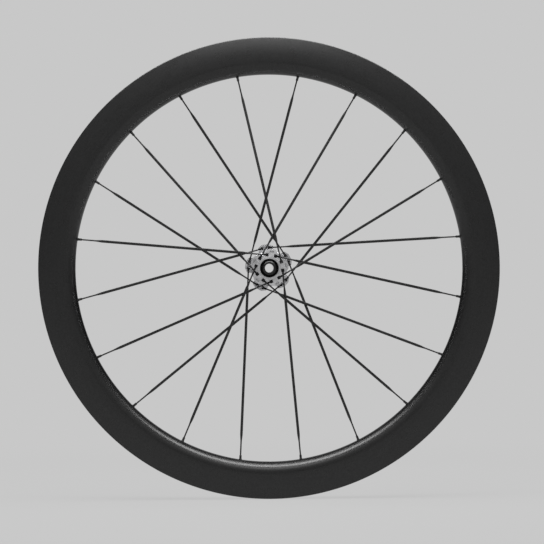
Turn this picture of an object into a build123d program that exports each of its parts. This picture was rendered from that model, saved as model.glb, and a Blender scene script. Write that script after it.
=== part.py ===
from build123d import *
from math import acos, asin, atan2, cos, degrees, radians, sin, sqrt, tan
import os

os.makedirs("parts", exist_ok=True)

# Front disc-brake road wheel without tyre or rotor, in millimetres.
# The origin is the middle of the axle, in the middle plane of the rim. The axle lies along Y:
# -Y is the right side of the bicycle and +Y the left side, with the brake. Z is up.

# Rim
bead_seat_diameter = 622.0
flange_height = 5.5
flange_tip_radius = 1.2
flange_inner_chamfer = 0.4
rim_depth = 50.5
rim_width = 30.0
rim_shoulder_radius = 192.0
rim_nose_length = 16.5
rim_nose_tip_radius = 12.0
rim_side_wall = 1.2
rim_nose_wall = 2.4
rim_inner_width = 21.0
bead_seat_width = 4.0
tyre_well_depth = 3.0
tyre_well_width = 8.0
tyre_bed_wall = 1.6
valve_hole_diameter = 6.5
valve_angle = -90.0

# Spokes, from the head seat in the hub to the thread in the nipple
spoke_count = 20
spoke_diameter = 2.0
spoke_head_diameter = 3.8
spoke_head_length = 3.0
spoke_head_cone = 0.8
hub_round_length = 20.0
rim_round_length = 23.0
blade_taper_length = 12.0
blade_width = 3.6
blade_thickness = 1.0
spoke_layer_gap = 3.6

# Nipples
nipple_square = 3.2
nipple_square_length = 5.0
nipple_square_gap = 0.7
nipple_shank_diameter = 4.0
nipple_head_diameter = 6.0
nipple_head_length = 2.6
nipple_seat_wall = 1.8
nipple_hole_clearance = 0.2
nipple_thread_clearance = 0.05
spoke_thread_reach = 3.4

# Hub: where each flange stands and how far the spokes pass from the axle
axle_spacing = 100.0
right_flange_y = -33.5
right_spoke_offset = 17.8
right_seat_distance = 6.0
right_lug_reach = 8.0
left_flange_y = 21.5
left_spoke_offset = 28.4
left_seat_distance = 3.3
left_lug_reach = 4.6
flange_thickness = 10.0
lug_tip_width = 9.0
lug_wall = 2.0
lug_arm_length = 4.0
lug_fillet = 1.2
head_pocket_clearance = 0.3
head_pocket_room = 1.2
spoke_slot_clearance = 0.3
spoke_slot_length = 16.0
lug_recess_length = 6.0
lug_recess_width = 2.6
lug_recess_depth = 7.0
lug_recess_wall = 1.6

# Hub shell
shell_right_y = -41.5
shell_left_y = 42.0
shell_wall = 2.4
bearing_stop = 1.8
waist_blend = 4.0
left_flange_diameter = 50.0
left_flange_web = 8.0
rotor_seat_height = 3.0
rotor_seat_y = 32.5
spline_depth = 1.1
spline_count = 20
spline_gap_width = 2.6
lockring_wall = 1.2
lockring_step = 1.7
lockring_depth = 5.5

# Axle, cartridge bearings and end caps
through_axle_bore = 12.1
axle_end_step = 1.0
axle_end_gap = 3.0
axle_shoulder = 1.1
bearing_bore = 17.0
bearing_section = 4.5
bearing_width = 5.0
bearing_inner_wall = 1.5
bearing_outer_wall = 1.1
bearing_seal_thickness = 0.5
bearing_seal_inset = 0.2
seal_running_gap = 0.15
bearing_fit = 0.01
ball_count = 18
ball_diameter = 2.4
race_clearance = 0.03
cage_thickness = 0.9
cage_width = 3.1
cage_clearance = 0.05
right_bearing_y = -37.5
left_bearing_y = 33.0
cap_wall = 2.0
cap_chamfer = 1.2
cap_lip_gap = 0.4
cap_lip_thickness = 1.7
cap_spigot_length = 0.6
cap_fit = 0.05
cap_ring_height = 0.8
cap_ring_width = 1.4
cap_ring_inset = 2.5

# Radii and positions that several pieces share
bead_radius = bead_seat_diameter / 2
rim_radius = bead_radius + flange_height
nose_radius = rim_radius - rim_depth
widest_radius = nose_radius + rim_nose_length
well_radius = bead_radius - tyre_well_depth
spoke_radius = spoke_diameter / 2
right_lug_radius = right_spoke_offset + right_lug_reach
left_lug_radius = left_spoke_offset + left_lug_reach
bearing_radius = bearing_bore / 2 + bearing_section
bearing_inner_radius = bearing_bore / 2 + bearing_inner_wall
bearing_outer_radius = bearing_radius - bearing_fit - bearing_outer_wall
ball_pitch_radius = (bearing_inner_radius + bearing_outer_radius) / 2
race_radius = ball_diameter / 2 + race_clearance
axle_bore_radius = through_axle_bore / 2
axle_end_radius = bearing_bore / 2 - axle_end_step
axle_shoulder_radius = bearing_bore / 2 + axle_shoulder
axle_end_y = axle_spacing / 2 - axle_end_gap
shell_bore_radius = bearing_radius - bearing_stop
right_boss_radius = bearing_radius + shell_wall
waist_radius = shell_bore_radius + shell_wall
lockring_radius = bearing_radius + lockring_step
spline_radius = lockring_radius + lockring_wall + spline_depth
rotor_seat_radius = spline_radius + rotor_seat_height
lug_count = spoke_count // 4
spoke_pitch = 360 / spoke_count


def is_right(index):
    """Every second spoke runs to the right flange."""
    return index % 2 == 1


def spoke_turn(index):
    """1 for a spoke that leaves its lug anticlockwise, seen from the right side, and -1 for clockwise."""
    return 1 if index % 4 in (1, 2) else -1


def spoke_plane(index):
    """The head seat of one spoke: Z runs along the spoke to the rim, X lies in the plane of the wheel."""
    offset = right_spoke_offset if is_right(index) else left_spoke_offset
    distance = right_seat_distance if is_right(index) else left_seat_distance
    flange_y = right_flange_y if is_right(index) else left_flange_y
    turn = spoke_turn(index)
    foot = hole_angle(index) - turn * acos(offset / nose_radius)
    seat = Vector(
        offset * cos(foot) - turn * distance * sin(foot),
        flange_y - turn * spoke_layer_gap / 2,
        offset * sin(foot) + turn * distance * cos(foot),
    )
    along = (nose_point(index) - seat).normalized()
    return Plane(origin=seat, x_dir=along.cross(Vector(0, 1, 0)), z_dir=along)


def hole_angle(index):
    """The angle of a nipple hole around the rim, in radians from X towards Z."""
    return radians((index + 0.5) * spoke_pitch)


def nose_point(index):
    """Where the line of a spoke meets the nose of the rim."""
    angle = hole_angle(index)
    return Vector(nose_radius * cos(angle), 0, nose_radius * sin(angle))


def nose_distance(index):
    """The length of a spoke from its head seat to the nose of the rim."""
    return (nose_point(index) - spoke_plane(index).origin).length


def lug_start(index):
    """The angle in degrees of the lug that holds the given anticlockwise spoke."""
    return degrees(hole_angle(index)) - 90


def lug_half_width(offset, distance):
    """Half the width of a lug at its spokes: up to the head seat, and the arm beyond it."""
    lean = asin(offset / nose_radius)
    return offset * sin(lean) + distance * cos(lean) + lug_arm_length


def nose_arcs(length, half_width, tip_radius):
    """Half of a rounded nose that ends at the widest radius: a tip arc and a flank arc that touch."""
    reach = length - tip_radius
    flank_radius = (reach**2 + half_width**2 - tip_radius**2) / (2 * (half_width - tip_radius))
    turn = degrees(atan2(flank_radius - half_width, reach))
    CenterArc((widest_radius - reach, 0), tip_radius, 180 - turn, turn)
    CenterArc((widest_radius, half_width - flank_radius), flank_radius, 90, 90 - turn)


def shoulder_arc(radius, end_radius):
    """One side of the rim from the widest radius out to the given radius; returns the half width there."""
    centre_y = rim_width / 2 - rim_shoulder_radius
    lean = asin((end_radius - widest_radius) / radius)
    CenterArc((widest_radius, centre_y), radius, 90 - degrees(lean), degrees(lean))
    return centre_y + radius * cos(lean)


def blade_section(width, thickness):
    """A spoke section with flat sides and sharpened edges."""
    edge = thickness / 2 / tan(radians(60))
    Polygon(
        (width / 2, 0),
        (width / 2 - edge, thickness / 2),
        (edge - width / 2, thickness / 2),
        (-width / 2, 0),
        (edge - width / 2, -thickness / 2),
        (width / 2 - edge, -thickness / 2),
    )


# Rim: a hollow section turned about the axle, with a rounded nose and a hookless tyre bed
with BuildPart() as rim:
    half_width = rim_width / 2
    half_inner = rim_inner_width / 2
    half_well = tyre_well_width / 2
    tip_middle_radius = rim_radius - flange_tip_radius
    tip_lean = asin((tip_middle_radius - widest_radius) / (rim_shoulder_radius - flange_tip_radius))
    flank_end_radius = tip_middle_radius + flange_tip_radius * sin(tip_lean)
    bed_back_radius = bead_radius - tyre_bed_wall
    with BuildSketch(Plane.XY) as rim_section:
        with BuildLine():
            nose_arcs(rim_nose_length, half_width, rim_nose_tip_radius)
            flank_end = shoulder_arc(rim_shoulder_radius, flank_end_radius)
            tip_y = flank_end - flange_tip_radius * cos(tip_lean)
            CenterArc((tip_middle_radius, tip_y), flange_tip_radius, 0, 90 - degrees(tip_lean))
            Polyline(
                (rim_radius, tip_y),
                (rim_radius, half_inner + flange_inner_chamfer),
                (rim_radius - flange_inner_chamfer, half_inner),
                (bead_radius, half_inner),
                (bead_radius, half_inner - bead_seat_width),
                (well_radius, half_well),
                (well_radius, 0),
                (nose_radius, 0),
            )
        make_face()
        with BuildLine():
            nose_arcs(
                rim_nose_length - rim_nose_wall,
                half_width - rim_side_wall,
                rim_nose_tip_radius - rim_nose_wall,
            )
            hollow_end = shoulder_arc(rim_shoulder_radius - rim_side_wall, bed_back_radius)
            Polyline(
                (bed_back_radius, hollow_end),
                (bed_back_radius, half_inner - bead_seat_width),
                (well_radius - tyre_bed_wall, half_well),
                (well_radius - tyre_bed_wall, 0),
                (nose_radius + rim_nose_wall, 0),
            )
        make_face(mode=Mode.SUBTRACT)
        mirror(about=Plane.XZ)
    revolve(axis=Axis.Y)
    nose_planes = [spoke_plane(n).offset(nose_distance(n)) for n in range(spoke_count)]
    for nose_plane in nose_planes:
        with BuildSketch(nose_plane.offset(-rim_nose_wall)):
            Circle(nipple_shank_diameter / 2 + nipple_hole_clearance)
    extrude(amount=3 * rim_nose_wall, mode=Mode.SUBTRACT)
    for nose_plane in nose_planes:
        with BuildSketch(nose_plane.offset(nipple_seat_wall)):
            Circle(nipple_head_diameter / 2 + nipple_hole_clearance)
    extrude(amount=2 * rim_nose_wall, mode=Mode.SUBTRACT)
    valve_direction = Vector(cos(radians(valve_angle)), 0, sin(radians(valve_angle)))
    with BuildSketch(Plane(valve_direction * (nose_radius - rim_nose_wall), z_dir=valve_direction)):
        Circle(valve_hole_diameter / 2)
    extrude(amount=rim_depth, mode=Mode.SUBTRACT)
rim.part.label = "rim"
export_step(rim.part, "parts/rim.step")

# Spokes: a straight head, a round stretch at each end and a flat blade between two tapers
neck_thickness = spoke_diameter * sqrt(3) / 2
for n in range(spoke_count):
    seat_plane = spoke_plane(n)
    length = nose_distance(n)
    blade_start = hub_round_length + blade_taper_length
    blade_end = length - rim_round_length - blade_taper_length
    with BuildPart() as spoke:
        with BuildSketch(seat_plane.offset(-spoke_head_length)):
            Circle(spoke_head_diameter / 2)
        extrude(amount=spoke_head_length)
        head_edges = spoke.edges().filter_by(GeomType.CIRCLE)
        chamfer(head_edges.sort_by_distance(seat_plane.origin)[-1], spoke_head_cone)
        with BuildSketch(seat_plane):
            Circle(spoke_radius)
        extrude(amount=hub_round_length)
        with BuildSketch(seat_plane.offset(hub_round_length)):
            blade_section(spoke_diameter, neck_thickness)
        with BuildSketch(seat_plane.offset(blade_start)):
            blade_section(blade_width, blade_thickness)
        loft(ruled=True)
        with BuildSketch(seat_plane.offset(blade_start)):
            blade_section(blade_width, blade_thickness)
        extrude(amount=blade_end - blade_start)
        with BuildSketch(seat_plane.offset(blade_end)):
            blade_section(blade_width, blade_thickness)
        with BuildSketch(seat_plane.offset(blade_end + blade_taper_length)):
            blade_section(spoke_diameter, neck_thickness)
        loft(ruled=True)
        with BuildSketch(seat_plane.offset(blade_end + blade_taper_length)):
            Circle(spoke_radius)
        extrude(amount=rim_round_length + spoke_thread_reach)
    side = "right" if is_right(n) else "left"
    name = f"spoke_{side}_{n // 2 + 1:02d}"
    spoke.part.label = name
    export_step(spoke.part, f"parts/{name}.step")

# Nipples: a square for the wrench outside the rim, a round shank in its hole and a head inside
with BuildPart() as nipples:
    for nose_plane in nose_planes:
        with BuildSketch(nose_plane.offset(-nipple_square_gap - nipple_square_length)):
            Rectangle(nipple_square, nipple_square)
            Circle(spoke_radius + nipple_thread_clearance, mode=Mode.SUBTRACT)
    extrude(amount=nipple_square_length)
    for nose_plane in nose_planes:
        with BuildSketch(nose_plane.offset(-nipple_square_gap)):
            Circle(nipple_shank_diameter / 2)
            Circle(spoke_radius + nipple_thread_clearance, mode=Mode.SUBTRACT)
    extrude(amount=nipple_square_gap + nipple_seat_wall)
    for nose_plane in nose_planes:
        with BuildSketch(nose_plane.offset(nipple_seat_wall)):
            Circle(nipple_head_diameter / 2)
            Circle(spoke_radius + nipple_thread_clearance, mode=Mode.SUBTRACT)
    extrude(amount=nipple_head_length)
nipples.part.label = "nipples"
export_step(nipples.part, "parts/nipples.step")

# Hub shell: turned body, two lugged flanges, open spoke seats and the rotor spline
with BuildPart() as hub_shell:
    right_face_y = right_flange_y + flange_thickness / 2
    left_face_y = left_flange_y - flange_thickness / 2
    left_back_y = left_flange_y + flange_thickness / 2
    right_stop_y = right_bearing_y + bearing_width / 2
    left_stop_y = left_bearing_y - bearing_width / 2
    lockring_floor_y = shell_left_y - lockring_depth
    web_front_y = left_back_y - left_flange_web
    web_radius = left_flange_diameter / 2
    with BuildSketch(Plane.XY) as shell_section:
        with BuildLine():
            Polyline(
                (bearing_radius, shell_right_y),
                (right_boss_radius, shell_right_y),
                (right_boss_radius, right_face_y),
                (waist_radius, right_face_y + waist_blend),
                (waist_radius, web_front_y - (web_radius - waist_radius)),
                (web_radius, web_front_y),
                (web_radius, left_back_y),
                (rotor_seat_radius, left_back_y),
                (rotor_seat_radius, rotor_seat_y),
                (spline_radius, rotor_seat_y),
                (spline_radius, shell_left_y),
                (lockring_radius, shell_left_y),
                (lockring_radius, lockring_floor_y),
                (bearing_radius, lockring_floor_y),
                (bearing_radius, left_stop_y),
                (shell_bore_radius, left_stop_y),
                (shell_bore_radius, right_stop_y),
                (bearing_radius, right_stop_y),
                close=True,
            )
        make_face()
        waist_corners = shell_section.vertices().filter_by(lambda v: abs(v.X - waist_radius) < 0.01)
        fillet(waist_corners, waist_blend)
    revolve(axis=Axis.Y)
    right_half = lug_half_width(right_spoke_offset, right_seat_distance)
    right_outline = [
        (0, -right_half),
        (right_spoke_offset + lug_wall, -right_half),
        (right_lug_radius, -lug_tip_width / 2),
        (right_lug_radius, lug_tip_width / 2),
        (right_spoke_offset + lug_wall, right_half),
        (0, right_half),
    ]
    with BuildSketch(Plane.XZ.offset(-right_face_y)) as right_lugs:
        with PolarLocations(0, lug_count, start_angle=lug_start(1)):
            Polygon(*right_outline, align=None)
        tips = right_lugs.vertices().group_by(SortBy.DISTANCE)[-1]
        fillet(tips, lug_fillet)
        Circle(bearing_radius, mode=Mode.SUBTRACT)
    extrude(amount=flange_thickness)
    recess_radius = right_lug_radius - lug_recess_wall - lug_recess_width / 2
    with BuildSketch(Plane.XZ.offset(flange_thickness - right_face_y)):
        with PolarLocations(recess_radius, lug_count, start_angle=lug_start(1)):
            SlotOverall(lug_recess_length, lug_recess_width, rotation=90)
    extrude(amount=-lug_recess_depth, mode=Mode.SUBTRACT)
    left_half = lug_half_width(left_spoke_offset, left_seat_distance)
    left_outline = [
        (web_radius - lug_wall, -left_half),
        (left_spoke_offset + lug_wall / 2, -left_half),
        (left_lug_radius, -lug_tip_width / 2),
        (left_lug_radius, lug_tip_width / 2),
        (left_spoke_offset + lug_wall / 2, left_half),
        (web_radius - lug_wall, left_half),
    ]
    with BuildSketch(Plane.XZ.offset(-left_back_y)) as left_lugs:
        with PolarLocations(0, lug_count, start_angle=lug_start(2)):
            Polygon(*left_outline, align=None)
        tips = left_lugs.vertices().group_by(SortBy.DISTANCE)[-1]
        fillet(tips, lug_fillet)
    extrude(amount=flange_thickness)
    # each spoke drops into its seat from the right: a pocket for the head and a slot for the neck
    pocket_width = spoke_head_diameter + 2 * head_pocket_clearance
    slot_width = spoke_diameter + 2 * spoke_slot_clearance
    for n in range(spoke_count):
        with BuildSketch(spoke_plane(n)):
            Circle(pocket_width / 2)
            Rectangle(pocket_width, flange_thickness, align=(Align.CENTER, Align.MIN))
    extrude(amount=-spoke_head_length - head_pocket_room, mode=Mode.SUBTRACT)
    for n in range(spoke_count):
        with BuildSketch(spoke_plane(n)):
            Circle(slot_width / 2)
            Rectangle(slot_width, flange_thickness, align=(Align.CENTER, Align.MIN))
    extrude(amount=spoke_slot_length, mode=Mode.SUBTRACT)
    with BuildSketch(Plane.XZ.offset(-shell_left_y)):
        with PolarLocations(spline_radius, spline_count):
            Rectangle(2 * spline_depth, spline_gap_width)
    extrude(amount=shell_left_y - rotor_seat_y, mode=Mode.SUBTRACT)
hub_shell.part.label = "hub_shell"
export_step(hub_shell.part, "parts/hub_shell.step")

# Axle: a bored tube with a shoulder between the bearings and reduced ends for the caps
right_face = right_bearing_y - bearing_width / 2
left_face = left_bearing_y + bearing_width / 2
with BuildPart() as axle:
    with BuildSketch(Plane.XY):
        with BuildLine():
            Polyline(
                (axle_bore_radius, -axle_end_y),
                (axle_end_radius, -axle_end_y),
                (axle_end_radius, right_face),
                (bearing_bore / 2 - bearing_fit, right_face),
                (bearing_bore / 2 - bearing_fit, right_stop_y),
                (axle_shoulder_radius, right_stop_y),
                (axle_shoulder_radius, left_stop_y),
                (bearing_bore / 2 - bearing_fit, left_stop_y),
                (bearing_bore / 2 - bearing_fit, left_face),
                (axle_end_radius, left_face),
                (axle_end_radius, axle_end_y),
                (axle_bore_radius, axle_end_y),
                close=True,
            )
        make_face()
    revolve(axis=Axis.Y)
axle.part.label = "axle"
export_step(axle.part, "parts/axle.step")

# Cartridge bearings, end caps and the rings that hold the caps on the axle
for side, middle_y, out in (("right", right_bearing_y, -1), ("left", left_bearing_y, 1)):
    with BuildPart() as inner_ring:
        with BuildSketch(Plane.XY):
            with Locations((bearing_bore / 2, middle_y)):
                Rectangle(bearing_inner_wall, bearing_width, align=(Align.MIN, Align.CENTER))
            with Locations((ball_pitch_radius, middle_y)):
                Circle(race_radius, mode=Mode.SUBTRACT)
        revolve(axis=Axis.Y)
    inner_ring.part.label = f"bearing_{side}_inner_ring"
    export_step(inner_ring.part, f"parts/bearing_{side}_inner_ring.step")

    with BuildPart() as outer_ring:
        with BuildSketch(Plane.XY):
            with Locations((bearing_radius - bearing_fit, middle_y)):
                Rectangle(bearing_outer_wall, bearing_width, align=(Align.MAX, Align.CENTER))
            with Locations((ball_pitch_radius, middle_y)):
                Circle(race_radius, mode=Mode.SUBTRACT)
        revolve(axis=Axis.Y)
    outer_ring.part.label = f"bearing_{side}_outer_ring"
    export_step(outer_ring.part, f"parts/bearing_{side}_outer_ring.step")

    with BuildPart(Plane.XZ.offset(-middle_y)) as balls:
        with PolarLocations(ball_pitch_radius, ball_count):
            Sphere(ball_diameter / 2)
    balls.part.label = f"bearing_{side}_balls"
    export_step(balls.part, f"parts/bearing_{side}_balls.step")

    with BuildPart(Plane.XZ.offset(-middle_y)) as cage:
        with BuildSketch(Plane.XY):
            with Locations((ball_pitch_radius, middle_y)):
                Rectangle(cage_thickness, cage_width)
        revolve(axis=Axis.Y)
        with PolarLocations(ball_pitch_radius, ball_count):
            Cylinder(
                ball_diameter / 2 + cage_clearance,
                2 * cage_thickness,
                rotation=(0, 90, 0),
                mode=Mode.SUBTRACT,
            )
    cage.part.label = f"bearing_{side}_cage"
    export_step(cage.part, f"parts/bearing_{side}_cage.step")

    seal_y = bearing_width / 2 - bearing_seal_inset - bearing_seal_thickness / 2
    seal_width = bearing_outer_radius - bearing_fit - bearing_inner_radius - seal_running_gap
    with BuildPart() as seals:
        with BuildSketch(Plane.XY):
            with Locations(
                (bearing_outer_radius - bearing_fit, middle_y - seal_y),
                (bearing_outer_radius - bearing_fit, middle_y + seal_y),
            ):
                Rectangle(seal_width, bearing_seal_thickness, align=(Align.MAX, Align.CENTER))
        revolve(axis=Axis.Y)
    seals.part.label = f"bearing_{side}_seals"
    export_step(seals.part, f"parts/bearing_{side}_seals.step")

    bearing_face_y = middle_y + out * bearing_width / 2
    lip_back_y = bearing_face_y + out * cap_spigot_length
    lip_front_y = lip_back_y + out * cap_lip_thickness
    cap_face_y = out * axle_spacing / 2
    cap_seat_radius = axle_end_radius + cap_fit
    cap_radius = axle_end_radius + cap_wall
    ring_y = out * (axle_end_y - cap_ring_inset)
    ring_radius = cap_seat_radius + cap_ring_height
    with BuildPart() as end_cap:
        with BuildSketch(Plane.XY) as cap_section:
            with BuildLine():
                Polyline(
                    (cap_seat_radius, bearing_face_y),
                    (bearing_inner_radius, bearing_face_y),
                    (bearing_inner_radius, lip_back_y),
                    (bearing_radius - cap_lip_gap, lip_back_y),
                    (bearing_radius - cap_lip_gap, lip_front_y),
                    (cap_radius, lip_front_y),
                    (cap_radius, cap_face_y),
                    (axle_bore_radius, cap_face_y),
                    (axle_bore_radius, out * axle_end_y),
                    (cap_seat_radius, out * axle_end_y),
                    close=True,
                )
            make_face()
            with Locations((cap_seat_radius, ring_y)):
                Rectangle(
                    cap_ring_height,
                    cap_ring_width + 2 * cap_fit,
                    align=(Align.MIN, Align.CENTER),
                    mode=Mode.SUBTRACT,
                )
        revolve(axis=Axis.Y)
        face_edges = end_cap.edges().filter_by_position(Axis.Y, cap_face_y - 0.01, cap_face_y + 0.01)
        chamfer(face_edges.sort_by(SortBy.RADIUS)[-1], cap_chamfer)
    end_cap.part.label = f"end_cap_{side}"
    export_step(end_cap.part, f"parts/end_cap_{side}.step")

    with BuildPart() as cap_ring:
        with BuildSketch(Plane.XY):
            with Locations((axle_end_radius + cap_fit / 2, ring_y)):
                Rectangle(cap_ring_height, cap_ring_width, align=(Align.MIN, Align.CENTER))
        revolve(axis=Axis.Y)
    cap_ring.part.label = f"cap_ring_{side}"
    export_step(cap_ring.part, f"parts/cap_ring_{side}.step")
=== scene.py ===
"""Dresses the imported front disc-brake wheel: drilled rim, bladed spokes, lugged hub and a plain studio."""

import math

import bmesh
import bpy
from bpy.props import FloatProperty, FloatVectorProperty, IntProperty, PointerProperty
from mathutils import Matrix, Quaternion, Vector


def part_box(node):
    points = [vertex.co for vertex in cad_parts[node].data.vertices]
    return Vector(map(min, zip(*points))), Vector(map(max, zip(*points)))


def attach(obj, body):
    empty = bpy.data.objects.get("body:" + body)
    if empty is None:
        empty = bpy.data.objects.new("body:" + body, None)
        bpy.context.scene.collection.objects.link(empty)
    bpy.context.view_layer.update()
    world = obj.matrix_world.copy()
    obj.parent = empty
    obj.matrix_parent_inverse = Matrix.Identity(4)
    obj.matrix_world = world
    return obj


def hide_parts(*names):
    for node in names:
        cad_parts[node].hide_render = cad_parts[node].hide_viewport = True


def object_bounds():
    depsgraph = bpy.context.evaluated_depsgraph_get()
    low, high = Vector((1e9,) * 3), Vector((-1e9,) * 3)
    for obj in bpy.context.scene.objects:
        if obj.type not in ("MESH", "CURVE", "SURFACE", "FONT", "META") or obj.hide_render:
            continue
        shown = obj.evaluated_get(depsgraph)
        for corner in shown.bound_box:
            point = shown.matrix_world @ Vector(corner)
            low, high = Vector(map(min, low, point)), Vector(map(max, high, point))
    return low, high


bl_info = {
    "name": "Road wheel dressing",
    "version": (1, 0, 0),
    "blender": (4, 5, 0),
    "location": "3D View > Sidebar > Wheel",
    "description": "Builds the finished pieces of a front disc-brake road wheel around its packed solids",
    "category": "Object",
}

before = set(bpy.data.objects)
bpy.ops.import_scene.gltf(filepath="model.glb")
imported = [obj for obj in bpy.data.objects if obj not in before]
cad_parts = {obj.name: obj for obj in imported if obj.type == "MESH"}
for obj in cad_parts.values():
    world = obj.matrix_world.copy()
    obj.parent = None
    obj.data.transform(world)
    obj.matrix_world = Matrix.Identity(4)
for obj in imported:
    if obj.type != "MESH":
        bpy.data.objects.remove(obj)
CAD_LOW, CAD_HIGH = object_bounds()

RIM_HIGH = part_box("rim")[1]
SIDES = ("right", "left")
SPOKES_PER_SIDE = 10

# The photograph's size, and the width that the camera's lens is worked out for in millimetres.
IMAGE_PIXELS = 544
SENSOR_WIDTH = 36.0

# Edges sharper than these angles stay sharp, and faces flatter than the last become one.
SMOOTH_ANGLE = math.radians(32)
SPOKE_SMOOTH_ANGLE = math.radians(40)
FLAT_ANGLE = math.radians(0.4)

# Corners of a solid nearer than the first distance are one, and faces thinner than the second are slivers.
JOIN_DISTANCE = 1e-6
SLIVER_WIDTH = 2e-6

# The rim's section is swept along a circle of this radius, and is set back by as much.
PATH_RADIUS = 0.3

# Steps in the arcs of the rim's section, and sides of the drills and of the spoke and nipple sections.
NOSE_STEPS, SIDE_STEPS, TIP_STEPS, EDGE_STEPS = 14, 14, 8, 3
HOLLOW_NOSE_STEPS, HOLLOW_SIDE_STEPS = 8, 6
HOLE_SIDES, VALVE_SIDES = 32, 48
SPOKE_SIDES, TAPER_STEPS = 20, 8
NIPPLE_SIDES = 24
FLOOR_SIDES, ROOM_STEPS = 96, 48

# Length of the nipple drill in nose walls, and length and middle of the valve drill in depths of the rim.
DRILL_WALLS = 4
VALVE_DEPTHS, VALVE_MIDDLE = 1.2, 0.45

# Shape of a rounded oblong: 1 is an ellipse, and less is fuller at its corners.
ROUND, BLADE, WRENCH_SQUARE, WRENCH_END = 1.0, 0.78, 0.24, 0.5

# Corners this near the end of a spoke belong to it, and its line is refined this many times.
SPOKE_END = 2e-5
SPOKE_PASSES = 3

# The middle range of a noise texture, and where its two tones begin and end.
NOISE_RANGE = (0.3, 0.7)
TONE_RANGE = (0.35, 0.65)

# Coordinates round the axle for lathe marks change this fast along them.
LATHE_ALONG = 2.2

WHITE = (1.0, 1.0, 1.0, 1.0)


def length(name, description, default):
    """A property for a size in metres."""
    return FloatProperty(
        name=name, description=description, default=default, min=0.0, unit="LENGTH", precision=5
    )


def colour(name, description, default):
    """A property for a linear colour."""
    return FloatVectorProperty(
        name=name, description=description, default=default, min=0.0, max=1.0, size=3, subtype="COLOR"
    )


def brightness(name, description, default):
    """A property for a level of light, where 1 is white."""
    return FloatProperty(name=name, description=description, default=default, min=0.0)


def fraction(name, description, default):
    """A property for a share of a whole."""
    return FloatProperty(
        name=name, description=description, default=default, min=0.0, max=1.0, subtype="FACTOR"
    )


def degrees(name, description, default):
    """A property for an angle, given in degrees."""
    return FloatProperty(name=name, description=description, default=math.radians(default), subtype="ANGLE")


def pixels(name, description, default):
    """A property for a place in the picture."""
    return FloatProperty(name=name, description=description, default=default, subtype="PIXEL")


class WheelRimSettings(bpy.types.PropertyGroup):
    """Section, holes and finish of the rim."""

    outer_radius: length("Outer radius", "From the axle to the flange tips", RIM_HIGH.x)
    depth: length("Depth", "From the flange tips to the nose", 0.0505)
    half_width: length("Half width", "Half the width at the widest place", RIM_HIGH.y)
    nose_length: length("Nose length", "From the nose to the widest place", 0.0165)
    nose_tip_radius: length("Nose tip radius", "Radius of the rounded nose", 0.012)
    side_wall: length("Side wall", "Thickness of the side walls", 0.0012)
    nose_wall: length("Nose wall", "Thickness of the wall that the nipples pull on", 0.0024)
    flange_height: length("Flange height", "From the bead seat to the flange tip", 0.0055)
    shoulder_radius: length("Shoulder radius", "Radius of the curved sides above the widest place", 0.192)
    tip_radius: length("Flange tip radius", "Radius on the outer edge of the flange tips", 0.0012)
    flange_round: length("Flange rounding", "Radius on the inner edge of the flange tips", 0.0004)
    inner_half_width: length("Half inner width", "Half the width between the flanges", 0.0105)
    seat_width: length("Bead seat width", "Width of the flat seat of each bead", 0.004)
    well_depth: length("Well depth", "Depth of the channel between the bead seats", 0.003)
    well_half_width: length("Half well width", "Half the width of the channel's floor", 0.004)
    bed_wall: length("Bed wall", "Thickness of the tyre bed", 0.0016)
    nipple_hole: length("Nipple hole radius", "Radius of the holes in the nose", 0.0022)
    valve_hole: length("Valve hole radius", "Radius of the hole for the valve", 0.00325)
    segments: IntProperty(name="Segments", description="Steps around the rim", default=480, min=60)
    carbon: colour("Carbon", "Colour of the fibre laminate", (0.0030, 0.0030, 0.0031))


class WheelSpokeSettings(bpy.types.PropertyGroup):
    """Shape and finish of the spokes."""

    neck_radius: length("Neck radius", "Radius of the round ends", 0.0010)
    head_radius: length("Head radius", "Radius of the straight head", 0.0019)
    head_length: length("Head length", "Length of the head", 0.003)
    head_cone: length("Head cone", "Size of the bevel on the end of the head", 0.0008)
    hub_round: length("Round at hub", "Length of the round stretch next to the hub", 0.020)
    rim_round: length("Round at rim", "Length of the round stretch next to the rim", 0.0264)
    taper: length("Taper", "Length over which the round becomes a blade", 0.013)
    blade_half_width: length("Half blade width", "Half the width of the blade", 0.0018)
    blade_half_thickness: length("Half blade thickness", "Half the thickness of the blade", 0.0005)
    paint: colour("Paint", "Colour of the spokes", (0.006, 0.006, 0.006))


class WheelNippleSettings(bpy.types.PropertyGroup):
    """Shape and finish of the nipples."""

    square: length("Half square", "Half the width of the square for the wrench", 0.0016)
    square_length: length("Square length", "Length of the square outside the rim", 0.005)
    square_gap: length("Square gap", "From the nose of the rim to the square", 0.0007)
    shank_radius: length("Shank radius", "Radius of the shank in its hole", 0.002)
    head_radius: length("Head radius", "Radius of the head inside the rim", 0.003)
    head_length: length("Head length", "Length of the head", 0.0026)
    seat_wall: length("Seat wall", "From the nose of the rim to the head", 0.0018)
    bore_radius: length("Bore radius", "Radius of the threaded bore", 0.00105)
    edge: length("Edge", "Size of the bevels on the ends", 0.0003)
    anodised: colour("Anodised", "Colour of the nipples", (0.012, 0.012, 0.012))


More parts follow.
